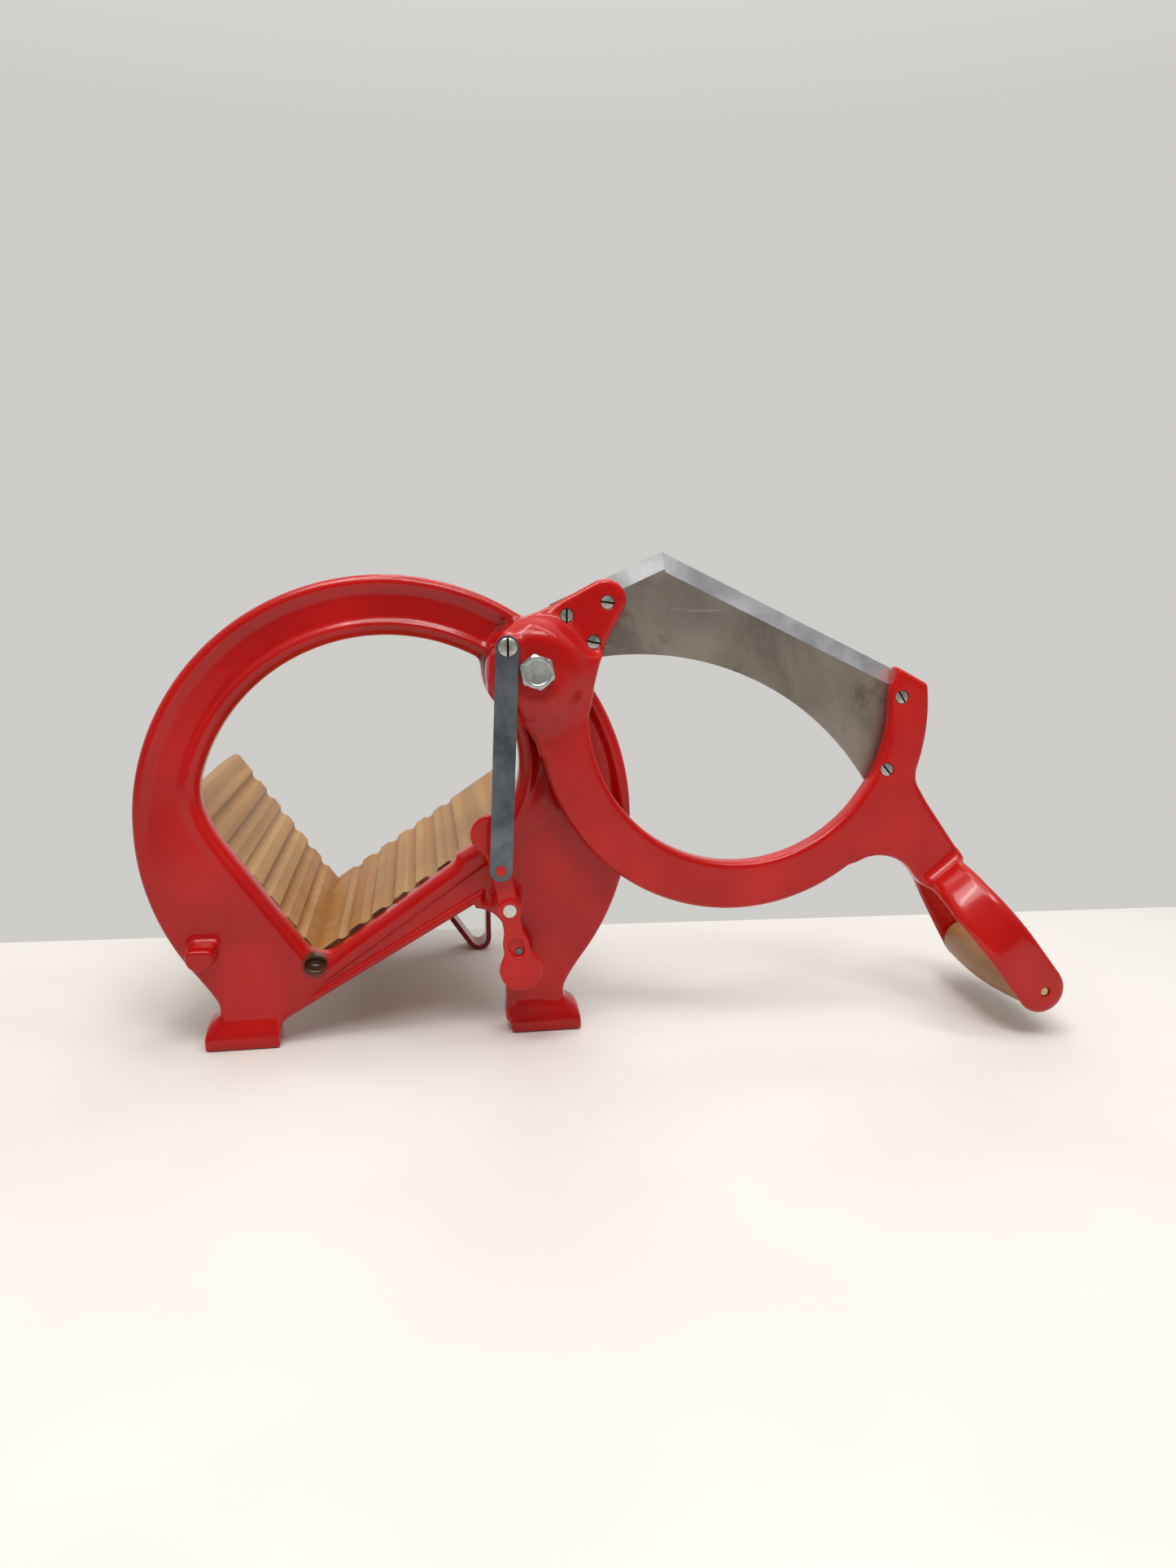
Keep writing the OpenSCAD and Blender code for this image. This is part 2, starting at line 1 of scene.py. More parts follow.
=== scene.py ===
"""Looks of a hand-lever food slicer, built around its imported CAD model.

Lengths are millimetres in the part's own axes: X = 0 on the pivot bolt, Y = 0 on the front
face of the ring frame, Z = 0 on the table. make_mesh() moves them to the frame of the CAD.
Castings are distance fields with soft blends, turned into meshes by OpenVDB.
"""

import json
import math

import bmesh
import bpy
import numpy as np
import openvdb
from mathutils import Matrix, Vector


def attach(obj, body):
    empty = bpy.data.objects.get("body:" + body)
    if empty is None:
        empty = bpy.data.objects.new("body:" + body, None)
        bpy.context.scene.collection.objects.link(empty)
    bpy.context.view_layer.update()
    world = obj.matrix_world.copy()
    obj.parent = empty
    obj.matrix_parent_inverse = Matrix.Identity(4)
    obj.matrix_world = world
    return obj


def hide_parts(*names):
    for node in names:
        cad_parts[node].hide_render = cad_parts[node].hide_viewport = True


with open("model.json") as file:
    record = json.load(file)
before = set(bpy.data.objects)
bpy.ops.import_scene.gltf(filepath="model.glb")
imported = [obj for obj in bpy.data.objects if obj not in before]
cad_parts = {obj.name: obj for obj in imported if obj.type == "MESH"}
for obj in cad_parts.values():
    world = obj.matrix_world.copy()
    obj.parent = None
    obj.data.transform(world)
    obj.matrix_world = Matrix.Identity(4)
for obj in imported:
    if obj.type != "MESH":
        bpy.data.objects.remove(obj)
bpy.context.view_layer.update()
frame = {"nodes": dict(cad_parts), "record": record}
NODES = frame["nodes"]

MID = (45.15, 69.5)          # middle of the object's box in the part's own axes
PIVOT_Z, PIVOT_HOLE_R = 233.3, 6.3


def row(x, y, z):
    """A point of the part's own axes, as metres in the CAD's frame."""
    return Vector(((x - MID[0]) / 1000, (y - MID[1]) / 1000, z / 1000))


# ---------------------------------------------------------------- camera, light, stage

def set_camera():
    yaw, pitch, roll = math.radians(8.63), math.radians(10.02), math.radians(-0.22)
    ahead = Vector((math.sin(yaw) * math.cos(pitch), math.cos(yaw) * math.cos(pitch),
                    -math.sin(pitch)))
    right = Vector((math.cos(yaw), -math.sin(yaw), 0))
    up = right.cross(ahead)
    right, up = (math.cos(roll) * right + math.sin(roll) * up,
                 -math.sin(roll) * right + math.cos(roll) * up)
    cam = bpy.data.cameras.new("camera")
    cam.sensor_width = 36
    cam.lens = 25.41
    cam.clip_start = 0.01
    obj = bpy.data.objects.new("camera", cam)
    bpy.context.scene.collection.objects.link(obj)
    place = Matrix.Identity(4)
    for i in range(3):
        place[i][0], place[i][1], place[i][2] = right[i], up[i], -ahead[i]
        place[i][3] = row(-68, -675.3, 281.2)[i]
    obj.matrix_world = place
    bpy.context.scene.camera = obj


def area_light(name, place, target, size, power, colour):
    light = bpy.data.lights.new(name, "AREA")
    light.shape = "RECTANGLE"
    light.size, light.size_y = size
    light.energy = power
    light.color = colour
    obj = bpy.data.objects.new(name, light)
    bpy.context.scene.collection.objects.link(obj)
    obj.location = row(*place)
    obj.rotation_euler = (row(*target) - row(*place)).to_track_quat("-Z", "Y").to_euler()


# ---------------------------------------------------------------- node materials

class Shader:
    """A small wrapper for building a node material line by line."""

    def __init__(self, name, **sockets):
        self.mat = bpy.data.materials.new(name)
        self.mat.use_nodes = True
        self.tree = self.mat.node_tree
        self.bsdf = self.tree.nodes["Principled BSDF"]
        coords = self.tree.nodes.new("ShaderNodeTexCoord")
        self.place = coords.outputs["Object"]
        for key, value in sockets.items():
            self.bsdf.inputs[key.replace("_", " ")].default_value = value

    def node(self, kind):
        return self.tree.nodes.new("ShaderNode" + kind)

    def link(self, a, b):
        self.tree.links.new(a, b)

    def put(self, value, socket):
        if isinstance(value, bpy.types.NodeSocket):
            self.link(value, socket)
        elif isinstance(value, tuple) and len(value) == 3 and socket.type == "RGBA":
            socket.default_value = (*value, 1)
        else:
            socket.default_value = value

    def stretched(self, scale, turn=(0, 0, 0), shift=(0, 0, 0)):
        m = self.node("Mapping")
        self.link(self.place, m.inputs["Vector"])
        m.inputs["Scale"].default_value = scale
        m.inputs["Rotation"].default_value = turn
        m.inputs["Location"].default_value = shift
        return m.outputs["Vector"]

    def noise(self, scale, detail=4, rough=0.5, vector=None, distort=0.0):
        n = self.node("TexNoise")
        self.link(vector or self.place, n.inputs["Vector"])
        n.inputs["Scale"].default_value = scale
        n.inputs["Detail"].default_value = detail
        n.inputs["Roughness"].default_value = rough
        n.inputs["Distortion"].default_value = distort
        return n.outputs["Fac"]

    def cells(self, scale, vector=None):
        n = self.node("TexVoronoi")
        n.feature = "F1"
        self.link(vector or self.place, n.inputs["Vector"])
        n.inputs["Scale"].default_value = scale
        return n.outputs["Distance"]

    def math(self, op, a, b=0.0):
        n = self.node("Math")
        n.operation = op
        self.put(a, n.inputs[0])
        self.put(b, n.inputs[1])
        return n.outputs[0]

    def ramp(self, value, low, high, a=0.0, b=1.0):
        n = self.node("MapRange")
        n.interpolation_type = "SMOOTHSTEP"
        self.put(value, n.inputs["Value"])
        for key, v in (("From Min", low), ("From Max", high), ("To Min", a), ("To Max", b)):
            n.inputs[key].default_value = v
        return n.outputs["Result"]

    def mix(self, fac, a, b):
        n = self.node("Mix")
        n.data_type = "RGBA"
        self.put(fac, n.inputs[0])
        self.put(a, n.inputs[6])
        self.put(b, n.inputs[7])
        return n.outputs[2]

    def axis(self, which):
        n = self.node("SeparateXYZ")
        self.link(self.place, n.inputs[0])
        return n.outputs[which]

    def near(self, point, full, none):
        """1 within the distance `full` of a point, 0 beyond `none`, in metres."""
        n = self.node("VectorMath")
        n.operation = "DISTANCE"
        self.link(self.place, n.inputs[0])
        n.inputs[1].default_value = point
        return self.ramp(n.outputs["Value"], full, none, 1.0, 0.0)

    def from_axis(self, x, z):
        """Distance in metres from a line along Y."""
        m = self.node("VectorMath")
        m.operation = "MULTIPLY"
        self.link(self.place, m.inputs[0])
        m.inputs[1].default_value = (1, 0, 1)
        n = self.node("VectorMath")
        n.operation = "DISTANCE"
        self.link(m.outputs[0], n.inputs[0])
        p = row(x, 0, z)
        n.inputs[1].default_value = (p.x, 0, p.z)
        return n.outputs["Value"]

    def bump(self, height, strength, distance=0.001, under=None):
        n = self.node("Bump")
        n.inputs["Strength"].default_value = strength
        n.inputs["Distance"].default_value = distance
        self.link(height, n.inputs["Height"])
        if under:
            self.link(under, n.inputs["Normal"])
        return n.outputs["Normal"]

    def done(self, colour=None, rough=None, normal=None):
        for value, key in ((colour, "Base Color"), (rough, "Roughness"), (normal, "Normal")):
            if value is not None:
                self.put(value, self.bsdf.inputs[key])
        return self.mat


def enamel(name, deep, light, pits, dirt_and_shade=()):
    """Glossy enamel over a casting: soft waviness, orange peel, thin spots, and dirt masks that
    also carry painted shade.
    """
    s = Shader(name, IOR=1.45, Specular_IOR_Level=0.32, Coat_Weight=0.22, Coat_Roughness=0.04)
    cloud = s.ramp(s.noise(18, 3), 0.35, 0.7)
    colour = s.mix(cloud, deep, light)
    speck = s.ramp(s.noise(420, 2, 0.6), 0.70, 0.76)
    colour = s.mix(s.math("MULTIPLY", speck, 0.35), colour, (0.13, 0.012, 0.01))
    for mask in dirt_and_shade:
        # each mask mixes in dark brown: rust in the pocket, painted shade with grease round the
        # hub
        colour = s.mix(mask(s), colour, (0.055, 0.022, 0.008))
    rough = s.ramp(s.noise(60, 3), 0.3, 0.75, 0.16, 0.27)
    wave = s.bump(s.noise(30, 1), 0.10 * pits, 0.002)
    peel = s.bump(s.noise(520, 2, 0.55), 0.14 * pits, 0.0004, wave)
    return s.done(colour, rough, peel)


def plated(name, light, dark, rough=(0.22, 0.42), grime=0.5):
    """Zinc or nickel plating, dulled in clouds, with fine scratches and grime."""
    s = Shader(name, Metallic=1.0)
    cloud = s.ramp(s.noise(160, 4, 0.6), 0.35, 0.7)
    colour = s.mix(cloud, light, dark)
    spots = s.ramp(s.noise(520, 3, 0.7), 0.60, 0.72)
    colour = s.mix(s.math("MULTIPLY", spots, grime), colour, (0.10, 0.085, 0.06))
    gloss = s.ramp(s.noise(90, 4, 0.6), 0.3, 0.7, *rough)
    scratch = s.noise(900, 2, 0.6, s.stretched((1, 1, 0.08), (0.3, 0.2, 0.9)))
    return s.done(colour, gloss, s.bump(scratch, 0.12, 0.0004))


def steel(name, light, dark, rust, scratch_turn, rough=(0.3, 0.5), mottle=14, streak=0.5):
    """Bare steel strip: mottled patina, drawn streaks, and a few bright scratches."""
    s = Shader(name, Metallic=0.9)
    cloud = s.ramp(s.noise(mottle, 6, 0.62, distort=0.6), 0.32, 0.68)
    colour = s.mix(cloud, dark, light)
    stain = s.ramp(s.noise(mottle * 3.3, 5, 0.65), 0.56, 0.72)
    colour = s.mix(s.math("MULTIPLY", stain, 0.6), colour, rust)
    lines = s.noise(300, 3, 0.7, s.stretched((1, 1, 0.06), scratch_turn))
    colour = s.mix(s.ramp(lines, 0.52, 0.75, 0.0, streak), colour, light)
    hair = s.ramp(s.noise(130, 1, 0.4, s.stretched((0.12, 1, 2.2), (0, 0.5, 0))), 0.735, 0.76)
    colour = s.mix(s.math("MULTIPLY", hair, 0.5), colour, (0.62, 0.64, 0.66))
    gloss = s.ramp(s.noise(mottle * 2, 4), 0.3, 0.7, *rough)
    return s.done(colour, gloss, s.bump(lines, 0.12, 0.0004))


def wood(name, tones, along, rough=0.52, laminate=0.0, stain=None):
    """Beech: growth streaks along one axis, short dark flecks, glued strips if laminated."""
    s = Shader(name, Roughness=rough, IOR=1.45)
    pull = {"X": (0.05, 1, 1), "Y": (1, 0.05, 1), "Z": (1, 1, 0.05)}[along]
    grain = s.noise(62, 6, 0.6, s.stretched(pull), 0.4)
    colour = s.mix(s.ramp(grain, 0.3, 0.7), tones[0], tones[1])
    if laminate:
        strip = s.noise(laminate, 0, 0.5, s.stretched((1, 0.0, 1), (0, 0, 0), (0.31, 0, 0.2)))
        colour = s.mix(s.ramp(strip, 0.38, 0.62, 0.0, 0.75), colour, tones[2])
    fibre = s.noise(800, 3, 0.7, s.stretched(pull))
    colour = s.mix(s.ramp(fibre, 0.52, 0.78, 0.0, 0.4), colour, tones[3])
    fleck = s.cells(430, s.stretched(tuple(0.12 if v < 1 else 1.0 for v in pull)))
    colour = s.mix(s.ramp(fleck, 0.06, 0.17, 0.38, 0.0), colour, tones[3])
    # the beech's stain pass also paints shade on the boards behind the ring
    if stain:
        colour = stain(s, colour)
    gloss = s.ramp(grain, 0.3, 0.75, rough - 0.08, rough + 0.1)
    return s.done(colour, gloss, s.bump(fibre, 0.2, 0.0005))


def hub_shade_and_grease(s):
    """Painted shade and patchy old grease in the gap between the lever's hub and the ring."""
    ring = s.ramp(s.from_axis(0, PIVOT_Z), 0.0315, 0.0355, 1.0, 0.0)
    patchy = s.ramp(s.noise(70, 4), 0.38, 0.58)
    front = s.ramp(s.axis("Y"), row(0, 4, 0).y, row(0, 8, 0).y, 0.85, 0.0)
    return s.math("MULTIPLY", ring, s.math("MULTIPLY", patchy, front))


def pocket_rust(s):
    """Dirt and rust in the pocket at the foot of the V."""
    ring = s.near(row(-137.5, 3, 51), 0.006, 0.0105)
    return s.math("MULTIPLY", ring, s.ramp(s.noise(230, 4), 0.25, 0.42))


def trough_stain_and_shade(s, colour):
    """Orange-brown wood near the apex, dark specks, and painted shade in a dark band along the
    ring.
    """
    low = s.ramp(s.axis("Z"), 0.052, 0.112, 0.85, 0.0)
    patch = s.ramp(s.noise(26, 4, 0.6), 0.3, 0.62)
    colour = s.mix(s.math("MULTIPLY", low, patch), colour, (0.33, 0.125, 0.018))
    specks = s.ramp(s.noise(170, 4, 0.7), 0.66, 0.74)
    colour = s.mix(s.math("MULTIPLY", specks, 0.5), colour, (0.10, 0.05, 0.022))
    # painted shade: a patchy dark band on the boards just behind the ring's back face
    seam_shade = s.ramp(s.axis("Y"), row(0, 16.8, 0).y, row(0, 18.1, 0).y, 0.9, 0.0)
    seam_shade = s.math("MULTIPLY", seam_shade, s.ramp(s.noise(120, 3), 0.25, 0.55))
    return s.mix(seam_shade, colour, (0.035, 0.016, 0.008))


RED = ((0.40, 0.0045, 0.0035), (0.50, 0.0065, 0.005))
MATS = {}


def make_materials():
    beech = ((0.34, 0.175, 0.056), (0.46, 0.265, 0.096), (0.30, 0.140, 0.040),
             (0.18, 0.085, 0.032))
    worn = ((0.30, 0.150, 0.055), (0.41, 0.225, 0.090), (0.27, 0.125, 0.045), (0.15, 0.07, 0.03))
    MATS.update(
        red_enamel=enamel("red_enamel", *RED, 1.0, (hub_shade_and_grease, pocket_rust)),
        red_enamel_arm=enamel("red_enamel_arm", (0.43, 0.0050, 0.0038), (0.53, 0.0075, 0.0055),
                              0.5),
        dark_red_enamel=enamel("dark_red_enamel", (0.20, 0.008, 0.006), (0.33, 0.014, 0.01), 0.8),
        beech=wood("beech", beech, "Y", 0.5, 95, trough_stain_and_shade),
        grip_wood=wood("grip_wood", worn, "Y", 0.42),
        zinc=plated("zinc", (0.66, 0.68, 0.69), (0.46, 0.47, 0.48)),
        zinc_bolt=plated("zinc_bolt", (0.56, 0.60, 0.59), (0.36, 0.39, 0.37), (0.28, 0.5), 0.4),
        nickel_screw=plated("nickel_screw", (0.62, 0.61, 0.58), (0.36, 0.35, 0.32),
                            (0.25, 0.5), 0.8),
        pale_steel=plated("pale_steel", (0.70, 0.74, 0.66), (0.50, 0.54, 0.46), (0.3, 0.5), 0.4),
        spring_steel=steel("spring_steel", (0.20, 0.225, 0.255), (0.085, 0.10, 0.12),
                           (0.10, 0.095, 0.09), (0, 0, 0), (0.3, 0.45), 26, 0.3),
        blade_steel=steel("blade_steel", (0.42, 0.375, 0.33), (0.25, 0.210, 0.178),
                          (0.13, 0.085, 0.05), (0, 1.1, 0), (0.32, 0.48), 11, 0.15),
        blade_edge=steel("blade_edge", (0.82, 0.83, 0.86), (0.66, 0.67, 0.70),
                         (0.60, 0.60, 0.60), (0, 0.35, 0), (0.30, 0.45), 20, 0.5),
        grime=plated("grime", (0.045, 0.035, 0.028), (0.02, 0.016, 0.013), (0.6, 0.9), 0.5),
        bronze=plated("bronze", (0.62, 0.43, 0.20), (0.36, 0.24, 0.11)),
    )


# ---------------------------------------------------------------- distance fields

def smin(a, b, k):
    h = np.clip(0.5 + 0.5 * (b - a) / k, 0, 1)
    return b + (a - b) * h - k * h * (1 - h)


def smax(a, b, k):
    return -smin(-a, -b, k)


def step(a, b, v):
    t = np.clip((v - a) / (b - a), 0, 1)
    return t * t * (3 - 2 * t)


def disc(x, z, cx, cz, r):
    return np.hypot(x - cx, z - cz) - r


def outline(x, z, points):
    """Signed distance to a closed polygon, negative inside."""
    best = np.full(np.broadcast(x, z).shape, 1e9)
    sign = np.ones(best.shape)
    n = len(points)
    for i in range(n):
        ax, az = points[i]
        bx, bz = points[(i + 1) % n]
        ex, ez = bx - ax, bz - az
        wx, wz = x - ax, z - az
        t = np.clip((wx * ex + wz * ez) / (ex * ex + ez * ez), 0, 1)
        best = np.minimum(best, (wx - ex * t) ** 2 + (wz - ez * t) ** 2)
        a, b = z >= az, z < bz
        c = ex * wz > ez * wx
        sign = np.where((a & b & c) | (~a & ~b & ~c), -sign, sign)
    return sign * np.sqrt(best)


def above(x, z, px, pz, angle):
    """Signed distance to a line through a point at an angle: positive on its left."""
    a = math.radians(angle)
    return -(x - px) * math.sin(a) + (z - pz) * math.cos(a)


def capsule(x, z, a, b, r):
    ex, ez = b[0] - a[0], b[1] - a[1]
    t = np.clip(((x - a[0]) * ex + (z - a[1]) * ez) / (ex * ex + ez * ez), 0, 1)
    return np.hypot(x - a[0] - ex * t, z - a[1] - ez * t) - r


def slab(y, front, back):
    return np.maximum(front - y, y - back)


def grid(low, high, pitch):
    """Open coordinate arrays that broadcast to a volume over a box."""
    axes = [np.arange(a, b + pitch, pitch, dtype=np.float32) for a, b in zip(low, high)]
    return np.meshgrid(*axes, indexing="ij", sparse=True)


def make_mesh(name, verts, faces, slot, body):
    mesh = bpy.data.meshes.new(name)
    mesh.from_pydata([row(*v) for v in verts], [], faces)
    mesh.validate()
    mesh.update()
    obj = bpy.data.objects.new(name, mesh)
    bpy.context.scene.collection.objects.link(obj)
    mesh.materials.append(MATS[slot])
    mesh.polygons.foreach_set("use_smooth", [True] * len(mesh.polygons))
    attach(obj, body)
    return obj


def casting(name, field, low, pitch, slot, body):
    """Meshes the zero surface of a sampled field."""
    band = 3 * pitch
    vdb = openvdb.FloatGrid(band)
    vdb.copyFromArray(np.clip(field, -band, band).astype(np.float32))
    points, tris, quads = vdb.convertToPolygons(isovalue=0.0)
    points = points * pitch + np.array(low)
    faces = [tuple(int(i) for i in f) for f in tris[:, ::-1]]
    faces += [tuple(int(i) for i in f) for f in quads[:, ::-1]]
    return make_mesh(name, points.tolist(), faces, slot, body)


def relax(obj, factor=0.5, times=2):
    mod = obj.modifiers.new("relax", "SMOOTH")
    mod.factor = factor
    mod.iterations = times
    return obj


def carve(obj, bm):
    """Cuts the shape held in a bmesh out of a piece, and applies every modifier."""
    mesh = bpy.data.meshes.new("tool")
    bm.to_mesh(mesh)
    bm.free()
    tool = bpy.data.objects.new("tool", mesh)
    bpy.context.scene.collection.objects.link(tool)
    mod = obj.modifiers.new("cut", "BOOLEAN")
    mod.operation, mod.object, mod.solver = "DIFFERENCE", tool, "EXACT"
    bpy.context.view_layer.objects.active = obj
    for m in list(obj.modifiers):
        bpy.ops.object.modifier_apply(modifier=m.name)
    bpy.data.objects.remove(tool)


def drill(obj, bores):
    """Cuts round holes along Y: (x, z, radius, front, back)."""
    bm = bmesh.new()
    for x, z, r, front, back in bores:
        place = Matrix.Translation(row(x, (front + back) / 2, z)) @ Matrix.Rotation(
            math.pi / 2, 4, "X")
        bmesh.ops.create_cone(bm, cap_ends=True, segments=48, radius1=r / 1000,
                              radius2=r / 1000, depth=(back - front) / 1000, matrix=place)
    carve(obj, bm)


def revolve(name, x, z, rings, slot, body, segments, reach=None):
    """A closed turned piece along Y from rings (radius, y); `reach` caps radii by angle."""
    verts, faces = [], []
    for r, y in rings:
        for i in range(segments):
            a = 2 * math.pi * i / segments
            rr = min(r, reach(a)) if reach else r
            verts.append((x + rr * math.cos(a), y, z + rr * math.sin(a)))
    last = len(rings) - 1
    for j in range(last):
        for i in range(segments):
            k = (i + 1) % segments
            faces.append((j * segments + i, j * segments + k, (j + 1) * segments + k,
                          (j + 1) * segments + i))
    faces.append(tuple(range(segments)))
    faces.append(tuple(last * segments + i for i in range(segments))[::-1])
    obj = make_mesh(name, verts, faces, slot, body)
    bm = bmesh.new()
    bm.from_mesh(obj.data)
    bmesh.ops.recalc_face_normals(bm, faces=bm.faces)
    bm.to_mesh(obj.data)
    bm.free()
    return obj


# ---------------------------------------------------------------- frame casting

RING = (-89, 139, 151)
OPENING = (-88, 138, 116)
RAIL = (-135.5, 51.3)
LEFT_RAIL, RIGHT_RAIL = 124.3, 35.2
BELLY = (-157, 16, 30)
ARCH_R, LEG_X = 19, -18.5
BOSS_R = 29.5
FRAME_DEPTH = 16.5
FEET = (-183, 6.5)
JAMB = (-70, 175, 62)
JAMB_LEFT, JAMB_TOP, LIP_SPLIT = -48, 203, -22
LUG = (-202.8, 65, 8.2)
LUG_TOP, LUG_FRONT = 70, -18.7
GAUGE_AXIS = (-18, 88.6)
APEX = (-136.9, 54)
NO_CUT = -1e3                # a field value that never cuts anything away


def jamb_field(x, z):
    """Negative in the ring's metal beside its concave jamb, right of the opening's middle."""
    return np.maximum(-disc(x, z, *JAMB), JAMB_LEFT - x)


def opening_field(x, z):
    """The opening: a round top, a V of two rails, a concave jamb and the pivot boss."""
    d = disc(x, z, *OPENING)
    d = smax(d, -above(x, z, *RAIL, RIGHT_RAIL), 4)
    d = smax(d, above(x, z, *RAIL, LEFT_RAIL), 16)
    jamb = np.maximum(jamb_field(x, z), z - JAMB_TOP)
    d = smax(d, -jamb, 5)
    return smax(d, -disc(x, z, 0, PIVOT_Z, BOSS_R), 6)


def lip_field(x, z, hole):
    """Distance from the opening's edge into the metal, also true right of the jamb."""
    return np.where(x > LIP_SPLIT, np.maximum(hole, -jamb_field(x, z)), hole)


def belly_field(x, z):
    bx, bz, slope = BELLY
    ax = LEG_X - ARCH_R
    az = bz + (ax - bx) * math.tan(math.radians(slope)) - ARCH_R / math.cos(math.radians(slope))
    wedge = np.maximum(above(x, z, bx, bz, slope), x - ax)
    gap = np.maximum(np.maximum(ax - x, x - LEG_X), z - az)
    return np.minimum(np.minimum(wedge, gap), disc(x, z, ax, az, ARCH_R))


def leg_outline(side):
    neck = [(-206, 44.5), (-200, 34.5), (-197, 29), (-196.2, 25), (-197, 20.5), (-201, 15),
            (-201, 8), (-150, 8), (-150, 60), (-195, 60)]
    if side > 0:
        neck = [(2 * RING[0] - x, z) for x, z in neck]
    return neck


def silhouette_field(x, z):
    d = np.maximum(disc(x, z, *RING), 12 - z)
    d = smin(d, disc(x, z, 0, PIVOT_Z, BOSS_R - 1), 6)
    for side in (-1, 1):
        d = smin(d, outline(x, z, leg_outline(side)), 2)
    return d


def build_frame():
    """The ring on its two feet, with bosses, stop lug, ledges and the pocket at the V."""
    low, high, pitch = (-244, -23, -3), (66, 46, 294), 1.0
    x, y, z = grid(low, high, pitch)
    out = silhouette_field(x, z)
    hole = opening_field(x, z)
    lip = lip_field(x, z, hole)
    belly = belly_field(x, z)
    flat = smax(smax(out, -hole, 0.5), -belly, 0.5)
    # front face: an outer bead, a lip round the opening and a shallow web between them
    ring_in = -disc(x, z, *RING)
    upper = step(105, 165, z)
    on_right = step(-110, -70, x)
    beaded = np.maximum(upper, on_right * step(88, 128, z))
    bead_edge = 1 - beaded * (1 - step(5.0, 11.0, ring_in))
    lip_edge = step(6.0, 12.0, lip)
    foot_edge = step(3.6, 6.4, belly)
    web = 2.6 * np.maximum(upper, on_right * step(24, 44, z)) * bead_edge * lip_edge
    web = web * step(BOSS_R - 3, BOSS_R + 4, np.hypot(x, z - PIVOT_Z))
    # the band along the right rail stands proud of the panel below it
    rail = -above(x, z, *RAIL, RIGHT_RAIL)
    band = step(10.6, 12.2, rail)
    panel = step(-150, -128, x) * step(-16, 2, rail) * (1 - step(-2, 22, x))
    web = web * (1 - panel) + panel * (0.7 * lip_edge + 1.5 * band) * foot_edge * bead_edge
    bevel = 3.6 * (1 - step(0, 7.0, lip)) * (1 - 0.6 * step(-140, -110, x) * (1 - upper))
    front = web + bevel
    front = front - 0.6 * step(1.5, 5, ring_in) * (1 - step(7, 11, ring_in)) * upper
    body = smax(flat, front - y, 4.5)
    body = smax(body, y - FRAME_DEPTH, 2.5)
    # pivot boss and gauge boss
    boss = smax(disc(x, z, 0, PIVOT_Z, BOSS_R), slab(y, -1.2, 20), 2)
    body = smin(body, boss, 4)
    eye = smax(disc(x, z, *GAUGE_AXIS, 8.5), slab(y, -20.3, 8), 1.5)
    body = smin(body, eye, 5)
    # feet: rounded blocks with a sloping front, blended into the legs
    for cx in FEET:
        cheek = np.maximum(np.abs(x - cx) - 23, slab(y, -4, 17.5))
        cheek = smax(cheek, slab(z, 0, 18), 2)
        cheek = smax(cheek, -(y + 4) * 0.62 + (z - 10) * 0.78, 5)
        cheek = smax(cheek, (np.abs(x - cx) - 22) * 0.75 + (z - 14) * 0.66, 5)
        cheek = smax(cheek, np.abs(x - cx) - 23, 2.2)
        body = smin(body, cheek, 7)
    # stop lug, and the small lug that the gauge's pin rests on
    lug = smax(disc(x, z, *LUG), z - LUG_TOP, 2.2)
    lug = smax(lug, slab(y, LUG_FRONT, 6), 1.6)
    body = smin(body, lug, 6)
    body = np.maximum(body, np.where(y < -17, LUG_FRONT - y, NO_CUT))
    rest = smax(np.maximum(np.abs(x + 17.1) - 2, np.abs(z - 63) - 5.5), slab(y, -10, 6), 1.2)
    body = smin(body, rest, 2)
    # ledges behind, under the boards
    for angle, side in ((34, -1), (125, 1)):
        a = math.radians(angle)
        u = (x - APEX[0]) * math.cos(a) + (z - APEX[1]) * math.sin(a)
        v = ((z - APEX[1]) * math.cos(a) - (x - APEX[0]) * math.sin(a)) * side
        ledge = np.maximum(np.abs(u - 63) - 35, np.abs(v - 21) - 3)
        body = smin(body, smax(ledge, slab(y, 10, 42), 1.5), 4)
    # rust pocket at the foot of the V
    pit = np.sqrt(((x + 137) / 7.0) ** 2 + ((z - 51.6) / 4.2) ** 2 + (y / 7.0) ** 2) * 5 - 5
    body = smax(body, -pit, 0.8)
    body = np.maximum(body, -z)
    obj = casting("frame_casting", body, low, pitch, "red_enamel", "base")
    relax(obj)
    drill(obj, [(0, PIVOT_Z, PIVOT_HOLE_R, -6, 30)])
    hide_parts("frame")


# ---------------------------------------------------------------- lever casting

# x, z and the slot's angle in degrees
HEEL_SCREWS = ((20.4, 265.3, 90), (45.2, 272.9, 8), (36.6, 249.2, 12))
TOE_SCREWS = ((232.7, 212.9, 58), (224.7, 166.8, 50))
GRIP = (313.8, 31.1)
EAR_ANGLE = math.radians(128.5)
EAR_MID = -6
HUB_FRONT, RIM_FRONT, HEEL_FRONT, ARM_BACK = -28, -16.5, -11, -2
SEAT_BOTTOM = 150            # above it the lever has nothing behind ARM_BACK
SCREW_R, SCREW_HOLE_R = 4.25, 4.45
LINK_TOP = (-17, 248)
RIM_INNER = (130, 206.5)


def blade_field(x, z):
    points = [(79.9, 302.9), (38, 284), (11, 271.8), (9, 262), (24, 247), (30, 225), (224, 140),
              (230, 158), (240.5, 176), (243, 196), (243, 214), (241.2, 225)]
    return np.maximum(outline(x, z, points), -disc(x, z, 63.8, 62.1, 179.2))


